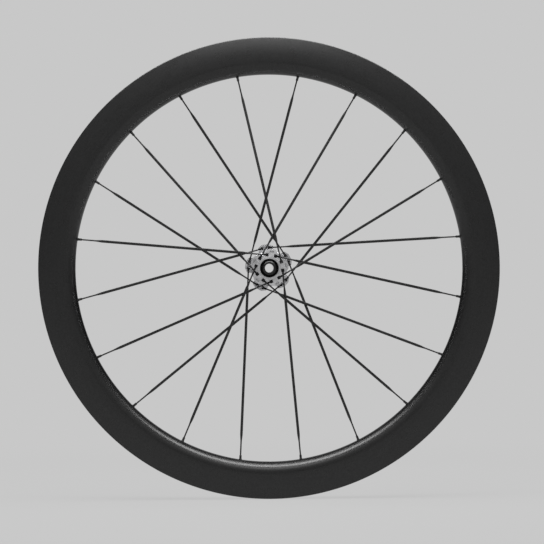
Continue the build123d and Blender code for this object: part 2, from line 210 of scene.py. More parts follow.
class WheelHubSettings(bpy.types.PropertyGroup):
    """Finish of the hub and the pieces that turn in it."""

    edge: length("Edge rounding", "Size of the rounding on the machined edges", 0.00022)
    face_radius: length("Face radius", "Radius of the grey end faces of the caps", 0.0083)
    barrel_radius: length("Barrel radius", "Radius just under the surface of the caps' barrels", 0.0094)
    silver: colour("Silver", "Colour of the polished hub shell", (0.75, 0.75, 0.76))
    cap_black: colour("Cap black", "Colour of the anodised end faces of the caps", (0.009, 0.009, 0.009))
    barrel_black: colour("Barrel black", "Colour of the caps' matt barrels", (0.0008, 0.0008, 0.0008))
    axle_grey: colour("Axle grey", "Colour of the turned axle", (0.42, 0.42, 0.43))
    steel: colour("Steel", "Colour of the bearing rings and balls", (0.56, 0.56, 0.57))
    rubber: colour("Rubber", "Colour of the seals", (0.014, 0.014, 0.014))


class WheelStageSettings(bpy.types.PropertyGroup):
    """Camera, light and floor."""

    backdrop: colour("Backdrop", "Level of the plain background", (0.5776, 0.5776, 0.5776))
    ambient: brightness("Ambient", "Soft light from all round", 0.50)
    floor: colour("Floor", "Colour of the floor", (0.37, 0.37, 0.37))
    floor_radius: length("Floor radius", "Radius of the round floor", 14.0)
    floor_gap: length("Floor gap", "From the floor up to the rim", 0.0004)
    floor_glow: fraction("Floor glow", "Share of the backdrop in the floor under the wheel", 0.90)
    glow_near: length("Glow near", "Where the floor begins to fade into the backdrop", 0.35)
    glow_far: length("Glow far", "Where the floor has become the backdrop", 1.1)
    key_radiance: brightness("Key light", "Brightness of the overhead softbox", 10.5)
    key_width: length("Key width", "Width of the softbox across the wheel", 1.9)
    key_depth: length("Key depth", "Depth of the softbox along the axle", 0.8)
    key_height: length("Key height", "Height of the softbox above the axle", 1.25)
    key_forward: length("Key forward", "How far the softbox stands towards the camera", 0.17)
    front_radiance: brightness("Front light", "Brightness of the small panel above the camera's view", 2.4)
    front_width: length("Front width", "Width of the front panel", 0.44)
    front_depth: length("Front depth", "Height of the front panel", 0.36)
    front_height: length("Front height", "Height of the front panel above the axle", 0.82)
    front_forward: length("Front forward", "How far the front panel stands towards the camera", 0.90)
    wall_low: brightness("Wall", "Brightness of the wall at the axle", 0.295)
    wall_high: brightness("High wall", "Brightness at the top of the wall", 0.50)
    rear_share: fraction("Rear share", "Share of that brightness behind the wheel", 0.06)
    shade_front: length("Shade front", "How far in front of the axle the room begins to darken", 4.7)
    shade_back: length("Shade back", "How far behind the axle the room is dark", 0.4)
    room_radius: length("Room radius", "From the axle to the curved wall", 5.0)
    room_height: length("Room height", "Height of the wall", 4.0)
    doorway: degrees("Doorway", "Angle behind the wheel where the wall is open to the backdrop", 50)
    distance: length("Distance", "From the camera to the axle", 3.2)
    pixel: length("Pixel", "Size of one picture element at the axle", 0.0013757)
    azimuth: degrees("Azimuth", "Turn of the camera round the wheel", -0.5)
    roll: degrees("Roll", "Turn of the picture, anticlockwise", 0.45)
    right: pixels("Right", "Wheel's place right of the middle", -2.9)
    up: pixels("Up", "Wheel's place above the middle", 3.9)


def fill(tree, node, inputs):
    """Links or sets a node's inputs by name or number."""
    for key, value in inputs.items():
        if isinstance(value, bpy.types.NodeSocket):
            tree.links.new(value, node.inputs[key])
        else:
            node.inputs[key].default_value = value


def add(tree, kind, inputs=None, **settings):
    """Adds a node, sets it up and fills its inputs."""
    made = tree.nodes.new(kind)
    for key, value in settings.items():
        setattr(made, key, value)
    fill(tree, made, inputs or {})
    return made


def calc(tree, operation, first, second):
    """The result of a Math node."""
    return add(tree, "ShaderNodeMath", {0: first, 1: second}, operation=operation).outputs[0]


def vector_calc(tree, operation, *inputs):
    """The outputs of a Vector Math node."""
    return add(tree, "ShaderNodeVectorMath", dict(enumerate(inputs)), operation=operation).outputs


def split(tree, vector):
    """The three parts of a vector."""
    return add(tree, "ShaderNodeSeparateXYZ", {0: vector}).outputs


def ranged(tree, value, start, end, low, high, **settings):
    """A value whose range from start to end becomes the range from low to high."""
    inputs = {"Value": value, 1: start, 2: end, 3: low, 4: high}
    return add(tree, "ShaderNodeMapRange", inputs, **settings).outputs[0]


def link_piece(piece_name, mesh):
    """Puts a finished mesh in the scene at the origin."""
    piece = bpy.data.objects.new(piece_name, mesh)
    bpy.context.scene.collection.objects.link(piece)
    return piece


def smooth(mesh, angle=SMOOTH_ANGLE):
    """Shades a mesh smooth between its sharp edges."""
    mesh.shade_smooth()
    mesh.set_sharp_from_angle(angle=angle)


def place(piece, body, slot, *nodes):
    """Rides a finished piece on its body in place of its solids."""
    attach(piece, body)
    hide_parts(*nodes)


def dress_node(node_name, material):
    """Gives a solid that shows as it is its finish."""
    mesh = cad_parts[node_name].data
    mesh.materials.clear()
    mesh.materials.append(material)


def rgba(value):
    """A colour with full opacity."""
    return (*value, 1.0)


def own_place(tree):
    """A material's place on its own object."""
    return add(tree, "ShaderNodeTexCoord").outputs["Object"]


def round_coordinates(tree, across, along):
    """Coordinates that run round the axle without a seam: fine across the section, long round the wheel."""
    place_at = own_place(tree)
    in_plane = vector_calc(tree, "MULTIPLY", place_at, (1.0, 0.0, 1.0))["Vector"]
    radius = vector_calc(tree, "LENGTH", in_plane)["Value"]
    outward = vector_calc(tree, "NORMALIZE", in_plane)["Vector"]
    turn = split(tree, outward)
    axial = split(tree, place_at)["Y"]
    packed = add(tree, "ShaderNodeCombineXYZ", {"X": radius, "Y": turn["X"], "Z": turn["Z"]}).outputs[0]
    vector = vector_calc(tree, "MULTIPLY", packed, (across, along, along))["Vector"]
    fourth = calc(tree, "MULTIPLY", axial, across)
    return vector, fourth, outward, radius, place_at


def noise(tree, vector, scale, detail, roughness):
    """The value of a noise texture."""
    inputs = {"Vector": vector, "Scale": scale, "Detail": detail, "Roughness": roughness}
    return add(tree, "ShaderNodeTexNoise", inputs).outputs["Fac"]


def round_noise(tree, vector, fourth, detail, roughness):
    """The value of a noise texture on coordinates that run round the axle."""
    inputs = {"Vector": vector, "W": fourth, "Scale": 1.0, "Detail": detail, "Roughness": roughness}
    return add(tree, "ShaderNodeTexNoise", inputs, noise_dimensions="4D").outputs["Fac"]


def two_tones(tree, factor, tone, dark, light):
    """A ramp from a darker to a lighter share of a tone."""
    ramp = add(tree, "ShaderNodeValToRGB", {"Fac": factor})
    for stop, position, amount in zip(ramp.color_ramp.elements, TONE_RANGE, (dark, light)):
        stop.position = position
        stop.color = rgba([min(c * amount, 1.0) for c in tone])
    return ramp.outputs["Color"]


def between(tree, factor, low, high):
    """Stretches a texture's middle range to the given range."""
    return ranged(tree, factor, *NOISE_RANGE, low, high)


def bump(tree, height, strength, distance):
    """A bump normal from a height."""
    made = add(tree, "ShaderNodeBump", {"Height": height, "Strength": strength, "Distance": distance})
    return made.outputs["Normal"]


def start_material(name):
    """A material with its node tree and shader."""
    material = bpy.data.materials.new(name)
    material.use_nodes = True
    tree = material.node_tree
    return material, tree, tree.nodes["Principled BSDF"]


def carbon_material(settings):
    """Satin fibre laminate: fine tows that run round the rim, under a clear matt skin."""
    material, tree, shader = start_material("satin_carbon")
    vector, fourth, _, _, place_at = round_coordinates(tree, across=620.0, along=11.0)
    tows = round_noise(tree, vector, fourth, detail=3.0, roughness=0.55)
    resin = noise(tree, place_at, scale=70.0, detail=3.0, roughness=0.5)
    speckle = noise(tree, place_at, scale=520.0, detail=2.0, roughness=0.6)
    inputs = {
        "Base Color": two_tones(tree, tows, settings.carbon, dark=0.72, light=1.4),
        "Roughness": between(tree, resin, 0.26, 0.31),
        "Specular IOR Level": between(tree, speckle, 0.46, 0.60),
        "Normal": bump(tree, tows, strength=0.05, distance=0.00008),
        "Coat Weight": 0.12,
        "Coat Roughness": 0.55,
    }
    fill(tree, shader, inputs)
    return material


def paint_material(name, tone, rough, grain):
    """Satin black coat with a faint orange-peel grain and wider rubbed patches."""
    material, tree, shader = start_material(name)
    place_at = own_place(tree)
    peel = noise(tree, place_at, scale=grain, detail=2.0, roughness=0.5)
    rub = noise(tree, place_at, scale=grain / 12, detail=4.0, roughness=0.6)
    inputs = {
        "Base Color": two_tones(tree, rub, tone, dark=0.75, light=1.5),
        "Roughness": between(tree, rub, rough - 0.05, rough + 0.07),
        "Normal": bump(tree, peel, strength=0.12, distance=0.00005),
    }
    fill(tree, shader, inputs)
    return material


def turned_metal(name, tone, rough, lines, brushed):
    """Metal with the rings that a lathe leaves, which draw its highlights outwards, and a little tarnish."""
    material, tree, shader = start_material(name)
    vector, fourth, outward, _, place_at = round_coordinates(tree, across=lines, along=LATHE_ALONG)
    rings = round_noise(tree, vector, fourth, detail=2.0, roughness=0.5)
    haze = noise(tree, place_at, scale=160.0, detail=3.0, roughness=0.55)
    spaces = {"vector_type": "VECTOR", "convert_from": "OBJECT", "convert_to": "WORLD"}
    turned = add(tree, "ShaderNodeVectorTransform", {"Vector": outward}, **spaces)
    inputs = {
        "Base Color": two_tones(tree, haze, tone, dark=0.80, light=1.10),
        "Roughness": between(tree, rings, rough - 0.06, rough + 0.08),
        "Normal": bump(tree, rings, strength=0.15, distance=0.00002),
        "Metallic": 1.0,
        "Anisotropic": brushed,
        "Tangent": turned.outputs["Vector"],
    }
    fill(tree, shader, inputs)
    return material


def step_at(tree, radius, limit, inside, outside):
    """One value inside a radius and another outside it, with a hair of blending."""
    return ranged(tree, radius, limit, limit + 0.0001, inside, outside)


def cap_material(name, face, barrel, face_radius, barrel_radius):
    """Turned and blacked metal: grey on the end face, black on its bevel, and dull outside the barrel."""
    material, tree, shader = start_material(name)
    vector, fourth, _, radius, _ = round_coordinates(tree, across=2400.0, along=LATHE_ALONG)
    rings = round_noise(tree, vector, fourth, detail=2.0, roughness=0.5)
    satin = two_tones(tree, rings, face, dark=0.8, light=1.3)
    dull = two_tones(tree, rings, barrel, dark=0.7, light=1.3)
    beyond = step_at(tree, radius, face_radius, 0.0, 1.0)
    tint = add(tree, "ShaderNodeMix", {"Factor": beyond, "A": satin, "B": dull}, data_type="RGBA")
    inputs = {
        "Base Color": tint.outputs["Result"],
        "Specular IOR Level": step_at(tree, radius, barrel_radius, 0.35, 0.06),
        "Roughness": between(tree, rings, 0.34, 0.46),
        "Normal": bump(tree, rings, strength=0.15, distance=0.00002),
    }
    fill(tree, shader, inputs)
    return material


def rubber_material(name, tone):
    """Matt rubber with a fine moulded grain."""
    material, tree, shader = start_material(name)
    grain = noise(tree, own_place(tree), scale=1400.0, detail=3.0, roughness=0.6)
    inputs = {
        "Base Color": two_tones(tree, grain, tone, dark=0.7, light=1.4),
        "Roughness": between(tree, grain, 0.62, 0.82),
        "Normal": bump(tree, grain, strength=0.25, distance=0.00008),
        "Specular IOR Level": 0.35,
    }
    fill(tree, shader, inputs)
    return material


def new_tree(name, sockets):
    """A Geometry Nodes tree with a geometry input and output and the given named inputs."""
    tree = bpy.data.node_groups.new(name, "GeometryNodeTree")
    tree.interface.new_socket("Geometry", in_out="INPUT", socket_type="NodeSocketGeometry")
    for label, kind in sockets.items():
        tree.interface.new_socket(label, in_out="INPUT", socket_type=f"NodeSocket{kind}")
    tree.interface.new_socket("Geometry", in_out="OUTPUT", socket_type="NodeSocketGeometry")
    return tree, add(tree, "NodeGroupInput").outputs


def close_tree(tree, geometry, material):
    """Ends a tree in realised, smooth geometry with its material."""
    real = add(tree, "GeometryNodeRealizeInstances", {0: geometry})
    shaded = add(tree, "GeometryNodeSetShadeSmooth", {"Geometry": real.outputs[0]})
    coated = add(tree, "GeometryNodeSetMaterial", {"Geometry": shaded.outputs[0], "Material": material})
    add(tree, "NodeGroupOutput", {0: coated.outputs[0]})


def settle(piece):
    """Turns a piece and its modifiers into a plain mesh."""
    bpy.context.view_layer.update()
    graph = bpy.context.evaluated_depsgraph_get()
    result = bpy.data.meshes.new_from_object(piece.evaluated_get(graph), depsgraph=graph)
    piece.modifiers.clear()
    piece.data = result
    result.name = piece.name
    if not result.polygons:
        raise RuntimeError(f"{piece.name} came out empty")


def grow(piece_name, source_mesh, tree, values):
    """Runs a tree on a mesh and returns the result as a plain mesh object."""
    piece = link_piece(piece_name, source_mesh)
    modifier = piece.modifiers.new(tree.name, "NODES")
    modifier.node_group = tree
    for item in tree.interface.items_tree:
        if item.in_out == "INPUT" and item.name in values:
            modifier[item.identifier] = values[item.name]
    settle(piece)
    return piece


def hidden_tool(name, mesh):
    """An object that only a tree reads; it is deleted when the tree has run."""
    tool = link_piece(name, mesh)
    tool.hide_render = True
    return tool


def remove_tools(*tools):
    """Deletes objects that only a tree needed."""
    for tool in tools:
        bpy.data.objects.remove(tool)


def loop_mesh(name, loops):
    """A mesh of closed rings of edges, for use as a section."""
    points, edges = [], []
    for loop in loops:
        start = len(points)
        points += [(x, y, 0.0) for x, y in loop]
        edges += [(start + i, start + (i + 1) % len(loop)) for i in range(len(loop))]
    mesh = bpy.data.meshes.new(name)
    mesh.from_pydata(points, edges, [])
    return mesh


def arc(centre, radius, start, end, steps):
    """Points on an arc, ends included, with angles in radians."""
    angles = [start + (end - start) * i / steps for i in range(steps + 1)]
    return [(centre[0] + radius * math.cos(a), centre[1] + radius * math.sin(a)) for a in angles]


def nose_curve(widest, nose_length, half_width, tip_radius, steps):
    """Half a rounded nose, from its tip to the widest place: a tip arc and a flank arc that touch."""
    reach = nose_length - tip_radius
    flank = (reach**2 + half_width**2 - tip_radius**2) / (2 * (half_width - tip_radius))
    turn = math.atan2(flank - half_width, reach)
    tip = arc((widest - reach, 0.0), tip_radius, math.pi, math.pi - turn, steps)
    side = arc((widest, half_width - flank), flank, math.pi - turn, math.pi / 2, steps)
    return tip + side[1:]


def both_halves(half):
    """Closes a half section, whose ends lie on the middle line, with its mirror image."""
    return half + [(x, -y) for x, y in reversed(half[1:-1])]


def flank_arc(s, widest, radius, lean, steps):
    """The curved side of the rim from the widest place out to the given lean."""
    centre = (widest, s.half_width - s.shoulder_radius)
    return arc(centre, radius, math.pi / 2, math.pi / 2 - lean, steps)[1:]


def shoulder_curve(s, widest):
    """The side above the widest place and the outer edge of the flange tip, as two arcs that touch."""
    side, tip = s.shoulder_radius, s.tip_radius
    middle = s.outer_radius - tip
    lean = math.asin((middle - widest) / (side - tip))
    tip_y = s.half_width - side + (side - tip) * math.cos(lean)
    edge = arc((middle, tip_y), tip, math.pi / 2 - lean, 0.0, TIP_STEPS)
    return flank_arc(s, widest, side, lean, SIDE_STEPS) + edge[1:]


def rim_sections(s):
    """The outer ring of the rim's section and the ring of its hollow, about the axle."""
    nose = s.outer_radius - s.depth
    widest = nose + s.nose_length
    bead = s.outer_radius - s.flange_height
    well = bead - s.well_depth
    rounding = s.flange_round
    top = s.outer_radius - rounding
    outer = nose_curve(widest, s.nose_length, s.half_width, s.nose_tip_radius, NOSE_STEPS)
    outer += shoulder_curve(s, widest)
    outer += arc((top, s.inner_half_width + rounding), rounding, 0.0, -math.pi / 2, EDGE_STEPS)
    outer += [
        (bead + rounding, s.inner_half_width),
        (bead, s.inner_half_width - rounding),
        (bead, s.inner_half_width - s.seat_width),
        (well, s.well_half_width),
        (well, 0.0),
    ]
    hollow = nose_curve(
        widest,
        s.nose_length - s.nose_wall,
        s.half_width - s.side_wall,
        s.nose_tip_radius - s.nose_wall,
        HOLLOW_NOSE_STEPS,
    )
    inside = s.shoulder_radius - s.side_wall
    lean = math.asin((bead - s.bed_wall - widest) / inside)
    hollow += flank_arc(s, widest, inside, lean, HOLLOW_SIDE_STEPS)
    hollow += [
        (bead - s.bed_wall, s.inner_half_width - s.seat_width),
        (well - s.bed_wall, s.well_half_width),
        (well - s.bed_wall, 0.0),
    ]
    return both_halves(outer), list(reversed(both_halves(hollow)))


def spoke_line(node_name):
    """The middle of a spoke's head end and of its rim end, read from its solid."""
    points = [v.co.copy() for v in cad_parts[node_name].data.vertices]
    points.sort(key=lambda p: math.hypot(p.x, p.z))
    tenth = max(len(points) // 10, 3)
    run = (sum(points[-tenth:], Vector()) - sum(points[:tenth], Vector())).normalized()
    for _ in range(SPOKE_PASSES):
        marks = [p.dot(run) for p in points]
        low, high = min(marks), max(marks)
        head = [p for p, m in zip(points, marks) if m < low + SPOKE_END]
        tail = [p for p, m in zip(points, marks) if m > high - SPOKE_END]
        start = sum(head, Vector()) / len(head)
        end = sum(tail, Vector()) / len(tail)
        run = (end - start).normalized()
    return start, end


def facing(run):
    """The turn that lays a piece along a spoke, with its width in the plane of the wheel."""
    across = run.cross(Vector((0.0, 1.0, 0.0))).normalized()
    return Matrix((across, run.cross(across), run)).transposed().to_quaternion()


def seat_points(name, places, runs, stretches):
    """A mesh of loose points that carry the run, turn and extra length of each spoke."""
    mesh = bpy.data.meshes.new(name)
    mesh.from_pydata(places, [], [])
    for label, kind in (("along", "FLOAT_VECTOR"), ("turn", "QUATERNION"), ("stretch", "FLOAT")):
        mesh.attributes.new(label, kind, "POINT")
    for i, run in enumerate(runs):
        mesh.attributes["along"].data[i].vector = run
        mesh.attributes["turn"].data[i].value = facing(run)
        mesh.attributes["stretch"].data[i].value = stretches[i]
    return mesh


def ring_mesh(name, rings, tube=False):
    """A skin over rings of points, with flat ends, or with its last ring joined to its first as a tube."""
    work = bmesh.new()
    rows = [[work.verts.new(p) for p in ring] for ring in rings]
    count = len(rows[0])
    pairs = list(zip(rows, rows[1:]))
    if tube:
        pairs.append((rows[-1], rows[0]))
    for low, high in pairs:
        for i in range(count):
            j = (i + 1) % count
            work.faces.new((low[i], low[j], high[j], high[i]))
    if not tube:
        work.faces.new(list(reversed(rows[0])))
        work.faces.new(rows[-1])
    bmesh.ops.recalc_face_normals(work, faces=work.faces)
    mesh = bpy.data.meshes.new(name)
    work.to_mesh(mesh)
    work.free()
    return mesh


def oval(half_width, half_thickness, height, count, squareness):
    """A ring of points on a rounded oblong."""

    def full(value):
        return math.copysign(abs(value) ** squareness, value)

    angles = [2 * math.pi * i / count for i in range(count)]
    return [(half_width * full(math.cos(a)), half_thickness * full(math.sin(a)), height) for a in angles]


def ease(t):
    """A soft start and end between 0 and 1."""
    return t * t * (3 - 2 * t)


def spoke_template(s, whole):
    """One spoke along Z from its head: head, neck, blade between two tapers, and the end in the nipple."""
    edge = s.head_cone / 8
    blade_start = s.head_length + s.hub_round
    blade_end = whole - s.rim_round

    def circle(radius, z):
        return oval(radius, radius, z, SPOKE_SIDES, ROUND)

    def section(z, amount):
        amount = ease(amount)
        width = s.neck_radius + (s.blade_half_width - s.neck_radius) * amount
        thick = s.neck_radius + (s.blade_half_thickness - s.neck_radius) * amount
        return oval(width, thick, z, SPOKE_SIDES, ROUND - (ROUND - BLADE) * amount)

    rings = [
        circle(s.head_radius - s.head_cone, 0.0),
        circle(s.head_radius, s.head_cone),
        circle(s.head_radius, s.head_length - edge),
        circle(s.head_radius - edge, s.head_length),
        circle(s.neck_radius, s.head_length + edge),
    ]
    steps = [i / TAPER_STEPS for i in range(TAPER_STEPS + 1)]
    rings += [section(blade_start + s.taper * t, t) for t in steps]
    rings += [section(blade_end - s.taper * (1 - t), 1 - t) for t in steps]
    rings.append(circle(s.neck_radius, whole))
    return ring_mesh("spoke_template", rings)


def nipple_template(s):
    """One nipple along Z from the nose of the rim: square, shank, head and bore."""
    bottom = -s.square_gap - s.square_length
    top = s.seat_wall + s.head_length
    edge = s.edge

    def ring(radius, z, squareness=ROUND):
        return oval(radius, radius, z, NIPPLE_SIDES, squareness)

    rings = [
        ring(s.bore_radius, top),
        ring(s.bore_radius, bottom),
        ring(s.square - 2 * edge, bottom, WRENCH_END),
        ring(s.square, bottom + edge, WRENCH_SQUARE),
        ring(s.square, -s.square_gap - edge, WRENCH_SQUARE),
        ring(s.shank_radius, -s.square_gap),
        ring(s.shank_radius, s.seat_wall),
        ring(s.head_radius, s.seat_wall),
        ring(s.head_radius, top - 2 * edge),
        ring(s.head_radius - 2 * edge, top),
    ]
    return ring_mesh("nipple_template", rings, tube=True)


def named(tree, label, kind):
    """A value that the points carry."""
    return add(tree, "GeometryNodeInputNamedAttribute", {"Name": label}, data_type=kind).outputs["Attribute"]


def object_mesh(tree, socket):
    """The mesh of an object that is given to the tree."""
    return add(tree, "GeometryNodeObjectInfo", {"Object": socket}).outputs["Geometry"]


def laid_on_points(tree, points, instance):
    """An instance on each point, turned as the point says."""
    turn = named(tree, "turn", "QUATERNION")
    inputs = {"Points": points, "Instance": instance, "Rotation": turn}
    return add(tree, "GeometryNodeInstanceOnPoints", inputs).outputs[0]


def spoke_tree():
    """Lays a spoke on each point and draws its rim end out to its own length."""
    sockets = {"Spoke": "Object", "Middle": "Float", "Material": "Material"}
    tree, given = new_tree("Bladed spokes", sockets)
    height = split(tree, add(tree, "GeometryNodeInputPosition").outputs[0])["Z"]
    marked = add(
        tree,
        "GeometryNodeStoreNamedAttribute",
        {"Geometry": object_mesh(tree, given["Spoke"]), "Name": "reach", "Value": height},
        data_type="FLOAT",
        domain="POINT",
    ).outputs[0]
    laid = laid_on_points(tree, given["Geometry"], marked)
    real = add(tree, "GeometryNodeRealizeInstances", {0: laid}).outputs[0]
    outer = calc(tree, "GREATER_THAN", named(tree, "reach", "FLOAT"), given["Middle"])
    amount = calc(tree, "MULTIPLY", outer, named(tree, "stretch", "FLOAT"))
    along = named(tree, "along", "FLOAT_VECTOR")
    shift = add(tree, "ShaderNodeVectorMath", {0: along, "Scale": amount}, operation="SCALE").outputs[0]
    drawn = add(tree, "GeometryNodeSetPosition", {"Geometry": real, "Offset": shift}).outputs[0]
    close_tree(tree, drawn, given["Material"])
    return tree


def nipple_tree():
    """Sets a nipple on each point."""
    tree, given = new_tree("Nipples", {"Nipple": "Object", "Material": "Material"})
    laid = laid_on_points(tree, given["Geometry"], object_mesh(tree, given["Nipple"]))
    close_tree(tree, laid, given["Material"])
    return tree


def drill(tree, sides, radius, depth):
    """A cylinder along Z for cutting a hole."""
    inputs = {"Vertices": sides, "Radius": radius, "Depth": depth}
    return add(tree, "GeometryNodeMeshCylinder", inputs).outputs[0]


def rim_tree():
    """Turns a section about the axle, then drills the nipple holes and the valve hole."""
    sockets = {
        "Segments": "Int",
        "Hole points": "Object",
        "Hole radius": "Float",
        "Hole length": "Float",
        "Valve radius": "Float",
        "Valve length": "Float",
        "Valve place": "Vector",
        "Material": "Material",
    }
    tree, given = new_tree("Drilled rim", sockets)
    section = add(tree, "GeometryNodeMeshToCurve", {"Mesh": given["Geometry"]}).outputs[0]
    circle = {"Resolution": given["Segments"], "Radius": PATH_RADIUS}
    path = add(tree, "GeometryNodeCurvePrimitiveCircle", circle).outputs[0]
    swept = add(tree, "GeometryNodeCurveToMesh", {"Curve": path, "Profile Curve": section}).outputs[0]
    upright = add(tree, "GeometryNodeTransform", {"Geometry": swept, "Rotation": (math.pi / 2, 0.0, 0.0)})
    hole = drill(tree, HOLE_SIDES, given["Hole radius"], given["Hole length"])
    holes = laid_on_points(tree, object_mesh(tree, given["Hole points"]), hole)
    real_holes = add(tree, "GeometryNodeRealizeInstances", {0: holes})
    valve = drill(tree, VALVE_SIDES, given["Valve radius"], given["Valve length"])
    valve_hole = add(tree, "GeometryNodeTransform", {"Geometry": valve, "Translation": given["Valve place"]})
    drilled = add(
        tree,
        "GeometryNodeMeshBoolean",
        {"Mesh 1": upright.outputs[0]},
        operation="DIFFERENCE",
        solver="MANIFOLD",
    )
    for cutter in (real_holes, valve_hole):
        tree.links.new(cutter.outputs[0], drilled.inputs["Mesh 2"])
    close_tree(tree, drilled.outputs[0], given["Material"])
    return tree


def clear_attributes(mesh):
    """Drops the working values that the trees leave on a mesh."""
    for name in ("along", "turn", "stretch", "reach"):
        if name in mesh.attributes:
            mesh.attributes.remove(mesh.attributes[name])


def drop_slivers(mesh):
    """Collapses the needle-thin faces that drilling leaves, and drops those that lie folded on each other."""
    work = bmesh.new()
    work.from_mesh(mesh)
    bmesh.ops.dissolve_degenerate(work, dist=SLIVER_WIDTH, edges=work.edges)
    bmesh.ops.triangulate(work, faces=[face for face in work.faces if len(face.verts) != 4])
    same_corners = {}
    for face in work.faces:
        same_corners.setdefault(frozenset(face.verts), []).append(face)
    folds = [face for faces in same_corners.values() if len(faces) > 1 for face in faces]
    bmesh.ops.delete(work, geom=folds, context="FACES_ONLY")
    work.to_mesh(mesh)
    work.free()


def spoke_name(side, number):
    """The name of a spoke's solid."""
    return f"spoke_{side}_{number:02d}"


def nose_places(nose_radius):
    """Where each spoke's line meets the nose of the rim, and its direction there."""
    places, runs = [], []
    for side in SIDES:
        for number in range(1, SPOKES_PER_SIDE + 1):
            start, end = spoke_line(spoke_name(side, number))
            run = (end - start).normalized()
            flat = Vector((run.x, run.z))
            foot = Vector((start.x, start.z))
            a, b, c = flat.dot(flat), 2 * foot.dot(flat), foot.dot(foot) - nose_radius**2
            reach = (-b + math.sqrt(b * b - 4 * a * c)) / (2 * a)
            places.append(start + run * reach)
            runs.append(run)
    return places, runs


def round_edges(piece, edge):
    """Rounds the machined edges of a piece."""
    rounding = piece.modifiers.new("edges", "BEVEL")
    rounding.width = edge
    rounding.segments = 2
    rounding.limit_method = "ANGLE"
    rounding.angle_limit = SMOOTH_ANGLE
    settle(piece)


def flatten_faces(piece):
    """Shades the flat faces of a rounded piece flat, so that only its edges turn the light."""
    weighting = piece.modifiers.new("faces", "WEIGHTED_NORMAL")
    weighting.keep_sharp = True
    settle(piece)


def welded_copy(node_name):
    """A copy of a solid with its corners joined and its flat faces whole."""
    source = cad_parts[node_name].data
    mesh = bpy.data.meshes.new(node_name + "_skin")
    mesh.from_pydata([v.co for v in source.vertices], [], [tuple(p.vertices) for p in source.polygons])
    work = bmesh.new()
    work.from_mesh(mesh)
    bmesh.ops.remove_doubles(work, verts=work.verts, dist=JOIN_DISTANCE)
    bmesh.ops.dissolve_limit(
        work, angle_limit=FLAT_ANGLE, verts=work.verts, edges=work.edges, use_dissolve_boundaries=False
    )
    work.to_mesh(mesh)
    work.free()
    return mesh


class WHEEL_OT_rim(bpy.types.Operator):
    """Build the hollow drilled rim"""

    bl_idname = "wheel.rim"
    bl_label = "Rim"

    def execute(self, context):
        s = context.scene.wheel_rim
        nose = s.outer_radius - s.depth
        outer, hollow = rim_sections(s)
        sections = [[(x - PATH_RADIUS, y) for x, y in ring] for ring in (outer, hollow)]
        places, runs = nose_places(nose)
        points = hidden_tool("hole_points", seat_points("hole_points", places, runs, [0.0] * len(runs)))
        values = {
            "Segments": s.segments,
            "Hole points": points,
            "Hole radius": s.nipple_hole,
            "Hole length": DRILL_WALLS * s.nose_wall,
            "Valve radius": s.valve_hole,
            "Valve length": VALVE_DEPTHS * s.depth,
            "Valve place": (0.0, 0.0, -(nose + VALVE_MIDDLE * s.depth)),
            "Material": carbon_material(s),
        }
        piece = grow("carbon_rim", loop_mesh("rim_section", sections), rim_tree(), values)
        remove_tools(points)
        clear_attributes(piece.data)
        drop_slivers(piece.data)
        smooth(piece.data)
        place(piece, "wheel", "carbon", "rim")
        return {"FINISHED"}


class WHEEL_OT_spokes(bpy.types.Operator):
    """Build the bladed spokes of both sides"""

    bl_idname = "wheel.spokes"
    bl_label = "Spokes"

    def execute(self, context):
        s = context.scene.wheel_spokes
        paint = paint_material("spoke_black", s.paint, rough=0.40, grain=2600.0)
        tree = spoke_tree()
        for side in SIDES:
            names = [spoke_name(side, n) for n in range(1, SPOKES_PER_SIDE + 1)]
            lines = [spoke_line(n) for n in names]
            lengths = [(end - start).length for start, end in lines]
            whole = min(lengths)
            template = hidden_tool("spoke_template", spoke_template(s, whole))
            points = seat_points(
                "spoke_seats",
                [start for start, _ in lines],
                [(end - start).normalized() for start, end in lines],
                [own - whole for own in lengths],
            )
            values = {"Spoke": template, "Middle": whole / 2, "Material": paint}
            piece = grow(f"spokes_{side}", points, tree, values)
            remove_tools(template)
            clear_attributes(piece.data)
            smooth(piece.data, SPOKE_SMOOTH_ANGLE)
            place(piece, "wheel", "spoke_black", *names)
        return {"FINISHED"}


class WHEEL_OT_nipples(bpy.types.Operator):
    """Build the nipples that hold the spokes in the rim"""

    bl_idname = "wheel.nipples"
    bl_label = "Nipples"

    def execute(self, context):
        s = context.scene.wheel_nipples
        rim = context.scene.wheel_rim
        places, runs = nose_places(rim.outer_radius - rim.depth)
        template = hidden_tool("nipple_template", nipple_template(s))
        points = seat_points("nipple_seats", places, runs, [0.0] * len(runs))
        paint = paint_material("nipple_black", s.anodised, rough=0.34, grain=3200.0)
        values = {"Nipple": template, "Material": paint}
        piece = grow("spoke_nipples", points, nipple_tree(), values)
        remove_tools(template)
        clear_attributes(piece.data)
        smooth(piece.data)
        place(piece, "wheel", "nipple_black", "nipples")
        return {"FINISHED"}


class WHEEL_OT_hub_shell(bpy.types.Operator):
    """Build the lugged hub shell"""

    bl_idname = "wheel.hub_shell"
    bl_label = "Hub shell"

    def execute(self, context):
        s = context.scene.wheel_hub
        mesh = welded_copy("hub_shell")
        mesh.materials.append(turned_metal("polished_hub", s.silver, rough=0.34, lines=2600.0, brushed=0.5))
        piece = link_piece("lugged_hub_shell", mesh)
        round_edges(piece, s.edge)
        smooth(piece.data)
        flatten_faces(piece)
        place(piece, "wheel", "hub_silver", "hub_shell")
        return {"FINISHED"}


